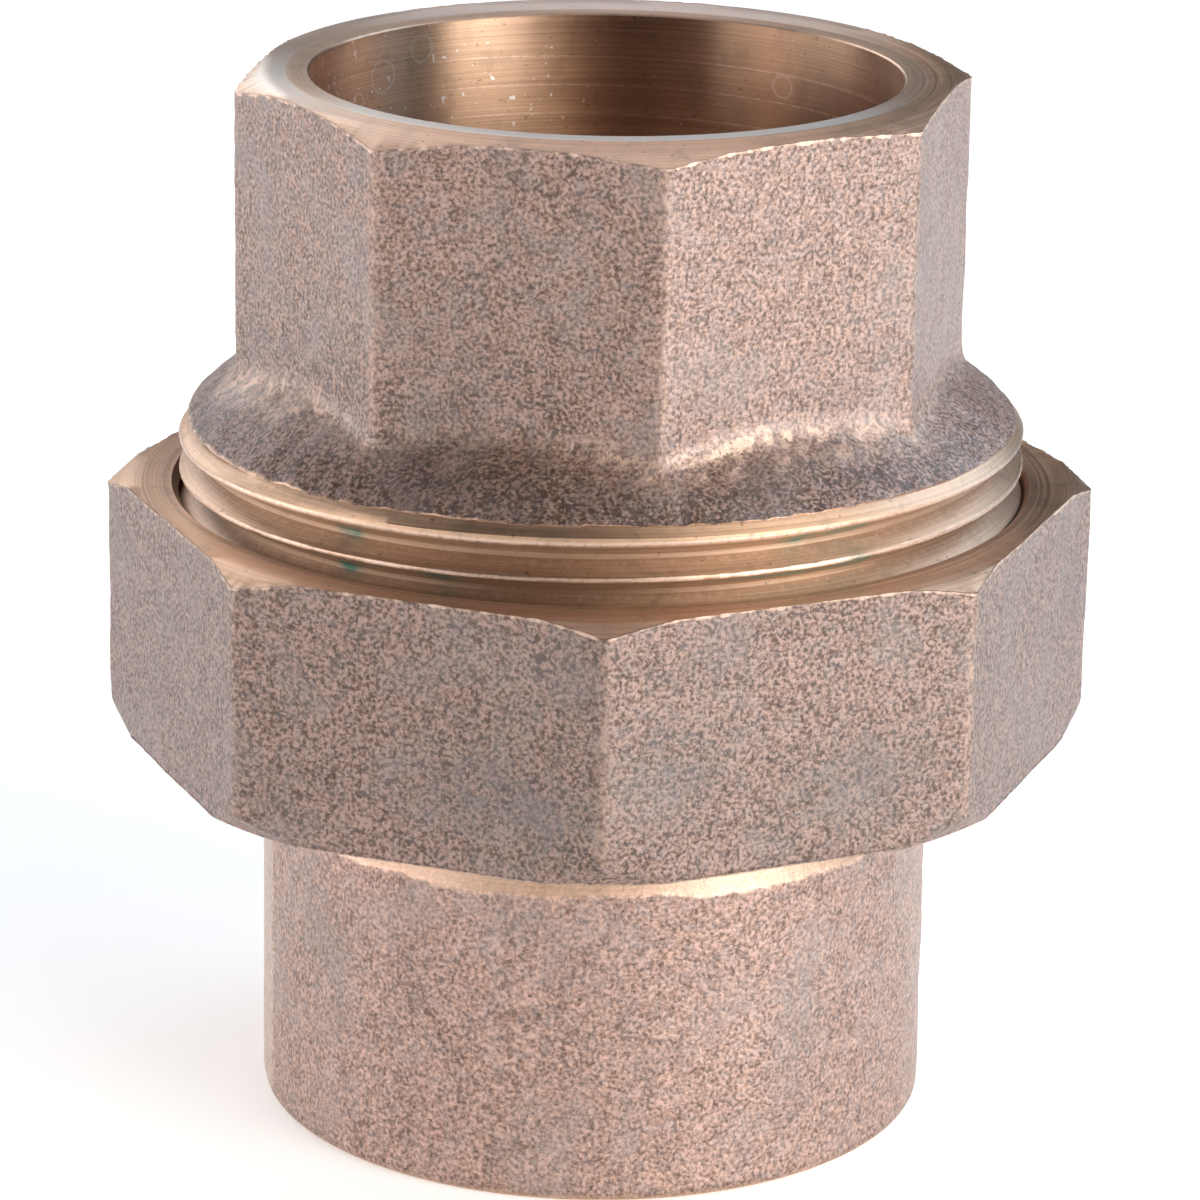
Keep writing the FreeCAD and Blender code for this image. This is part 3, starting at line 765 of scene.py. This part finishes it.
def metal_colour(g, at, lines, lumps, stain, marks):
    """Colour of the turned metal: lathe lines, pits, pale places with painted highlights, the darker cup with
    water rings, grime with painted shade.
    """
    x, y, z = g.parts(at)
    bore = marks["bore"]
    metal = g.mix(g.step(lines, 0.3, 0.7), METAL_DARK, METAL_LIGHT)
    metal = g.mix(g.step(g.noise(at, BROWN_SIZE, 3.0, 0.6), 0.52, 0.7) * 0.4, metal, METAL_BROWN)
    pits = g.step(g.noise(g.vector(x, y, z * 1.6), PIT_SIZE, 2.0, 0.7), 0.66, 0.72)
    metal = g.mix(pits * 0.7, metal, METAL_PIT)
    metal = g.mix(marks["pale"] * (0.75 + 0.3 * lumps), metal, METAL_PALE_AND_HIGHLIGHT)
    metal = g.mix(bore * (0.25 + 0.4 * g.step(stain, 0.45, 0.65)), metal, METAL_BORE)
    for angle, height, size in WATER_STAINS:
        centre = g.vector(*(float(v) * MM for v in place(angle, CUP_RADIUS, height)))
        away = g.node("ShaderNodeVectorMath", {0: at, 1: centre}, operation="DISTANCE")
        off = g.math("ABSOLUTE", Value(g, away.outputs["Value"]) * (1 / MM) + 0.5 * lumps - size)
        metal = g.mix(g.step(off, 0.2, 0.05) * bore * 0.3, metal, METAL_RING)
    return g.mix(marks["grime"] * 0.85, metal, METAL_GRIME_AND_SHADE)


def bronze():
    """Sand-cast skin and turned metal, mixed by the marks on the mesh."""
    g = Graph("cast_bronze")
    at = g.position()
    x, y, z = g.parts(at)
    radius = g.math("SQRT", x * x + y * y)
    marks = {name: g.mark(name) for name in MARKS}
    skin, wear, bore = marks["skin"], marks["wear"], marks["bore"]
    grain = g.noise(at, GRAIN_SIZE, 3.0, 0.6)
    lumps = g.noise(at, LUMP_SIZE, 2.0, 0.5)
    stain = g.noise(g.vector(x + 0.31, y, z * 0.7), STAIN_SIZE, 3.0, 0.6)
    turns = g.vector(radius * LINES_ACROSS, z * LINES_ACROSS, g.math("ARCTAN2", y, x) * LINES_ALONG)
    lines = g.noise(turns, LINE_SIZE, 3.0, 0.7)

    metal = metal_colour(g, at, lines, lumps, stain, marks)
    base = g.mix(skin, metal, cast_colour(g, at, grain, lumps, stain, marks))
    speck = g.step(g.noise(at, SPECK_SIZE, 2.0, 0.6) + wear * 0.2, 0.56, 0.66)
    # Worn places, and painted highlights at the hub's foot.
    base = g.mix(g.math("MINIMUM", wear * 1.2, 1.0) * (0.3 + 0.7 * speck), base, WORN_AND_HIGHLIGHT)
    drop_noise = g.noise(g.vector(x, y + 0.4, z), DROP_SIZE, 2.0, 0.6) + g.step(x, 0.0, -0.018) * 0.06
    base = g.mix(g.step(drop_noise, 0.72, 0.75) * bore * 0.8, base, DRIED_DROP)
    green = g.math("MINIMUM", marks["green"] * 1.8, 1.0) * (0.6 + 0.4 * g.step(lumps, 0.35, 0.6))
    base = g.mix(green, base, GREEN)
    light = g.node("ShaderNodeHueSaturation", {"Value": 1.0 + marks["tone"], "Color": base})

    rough_cast = 0.50 + 0.16 * grain
    rough_metal = 0.36 + 0.2 * lines + marks["grime"] * 0.25 - bore * 0.1
    normal = g.bump(lines, LINE_BUMP, 0.5)
    normal = g.bump((grain + lumps) * skin, SKIN_BUMP, 0.9, normal)
    tangent = g.node("ShaderNodeTangent", {}, direction_type="RADIAL", axis="Z")
    surface = g.node("ShaderNodeBsdfPrincipled", {
        "Base Color": Value(g, light.outputs[0]), "Metallic": 1.0 - 0.25 * skin,
        "Roughness": rough_metal + skin * (rough_cast - rough_metal), "Normal": normal,
        "Anisotropic": (0.5 + 0.35 * bore) * (1.0 - skin), "Anisotropic Rotation": 0.25,
        "Coat Weight": 0.5, "Coat Roughness": 0.4, "Coat IOR": 1.6, "Tangent": Value(g, tangent.outputs[0])})
    return g.finish(surface)


# --- The three pieces ---
material = bronze()
for node, body, make in (("threaded_head", "head", head_mesh), ("union_nut", "nut", nut_mesh),
                         ("tailpiece", "tail", tail_mesh)):
    piece = bpy.data.objects.new(node + "_finished", make())
    bpy.context.scene.collection.objects.link(piece)
    piece.data.materials.append(material)
    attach(piece, body)
    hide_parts(node)


# --- Floor, light and camera ---
LAMP_DISTANCE = 0.8     # in metres, like the sizes of the lamps and the floor
LAMP_TARGET = Vector((0, 0, 0.045))
# Name, angle to the right of the camera's direction, elevation, size, power and colour.
LAMPS = (("key", 45, 30, (0.74, 0.5), 3.6, (1.0, 0.953, 0.872)),
         ("low_right", 50, 11, (0.45, 0.25), 3.85, (0.90, 0.974, 1.0)),
         ("right", 112, 30, (0.7, 0.5), 3.1, (0.62, 0.81, 1.0)),
         ("low_left", -80, 11, (1.1, 0.3), 3.85, (0.937, 0.96, 1.0)),
         ("back_left", -125, 13, (0.8, 0.35), 0.6, (0.70, 0.88, 1.0)),
         ("back", -150, 30, (0.5, 0.5), 1.5, (0.966, 0.98, 1.0)),
         ("overhead", 180, 66, (0.6, 0.6), 1.67, (0.80, 0.84, 1.0)))
FLOOR_REACH = 3.0
FLOOR_GLOW = 0.42
WORLD_STRENGTH = 0.02
WHITE = rgb(1.0, 1.0, 1.0)


def area_light(name, angle, elevation, size, power, colour):
    """Soft box that looks at the object."""
    turn, rise = math.radians(VIEW_ANGLE + angle), math.radians(elevation)
    away = Vector((math.cos(rise) * math.cos(turn), math.cos(rise) * math.sin(turn), math.sin(rise)))
    data = bpy.data.lights.new(name, "AREA")
    data.shape = "RECTANGLE"
    data.size, data.size_y = size
    data.energy = power
    data.color = colour
    lamp = bpy.data.objects.new(name, data)
    lamp.location = LAMP_TARGET + away * LAMP_DISTANCE
    lamp.rotation_euler = (-away).to_track_quat("-Z", "Y").to_euler()
    bpy.context.scene.collection.objects.link(lamp)


floor_mesh = bpy.data.meshes.new("floor")
floor_corners = [(x * FLOOR_REACH, y * FLOOR_REACH, 0) for x, y in ((-1, -1), (1, -1), (1, 1), (-1, 1))]
floor_mesh.from_pydata(floor_corners, [], [(0, 1, 2, 3)])
floor = bpy.data.objects.new("floor", floor_mesh)
bpy.context.scene.collection.objects.link(floor)
paper = Graph("floor_paper")
paper_tone = paper.mix(paper.noise(paper.position(), 40.0), rgb(0.88, 0.865, 0.84), rgb(0.90, 0.885, 0.86))
floor.data.materials.append(paper.finish(paper.node("ShaderNodeBsdfPrincipled", {
    "Base Color": paper_tone, "Roughness": 0.9, "Emission Color": WHITE, "Emission Strength": FLOOR_GLOW})))

for lamp_row in LAMPS:
    area_light(*lamp_row)

world = bpy.data.worlds.new("studio")
world.use_nodes = True
background = world.node_tree.nodes["Background"]
background.inputs["Color"].default_value = WHITE
background.inputs["Strength"].default_value = WORLD_STRENGTH
bpy.context.scene.world = world
bpy.context.scene.view_settings.view_transform = "Standard"

CAMERA_DISTANCE = 451.3    # from the object's axis, level
CAMERA_HEIGHT = 191.2
CAMERA_PITCH = 17.67       # downwards
CAMERA_ROLL = 0.95
CAMERA_HEADING = -0.02     # its aim is right of the axis, because this is negative
SENSOR_WIDTH, FOCAL_LENGTH = 36.0, 151.5
CLIP_START = 0.05          # in metres
camera_data = bpy.data.cameras.new("camera")
camera_data.sensor_width = SENSOR_WIDTH
camera_data.lens = FOCAL_LENGTH
camera_data.clip_start = CLIP_START
camera = bpy.data.objects.new("camera", camera_data)
turn = math.radians(VIEW_ANGLE)
where = Vector((CAMERA_DISTANCE * math.cos(turn), CAMERA_DISTANCE * math.sin(turn), CAMERA_HEIGHT)) * MM
heading = turn + math.pi / 2 + math.radians(CAMERA_HEADING)
aim = Matrix.Rotation(heading, 4, "Z") @ Matrix.Rotation(math.radians(90 - CAMERA_PITCH), 4, "X")
camera.matrix_world = Matrix.Translation(where) @ aim @ Matrix.Rotation(math.radians(CAMERA_ROLL), 4, "Z")
bpy.context.scene.collection.objects.link(camera)
bpy.context.scene.camera = camera
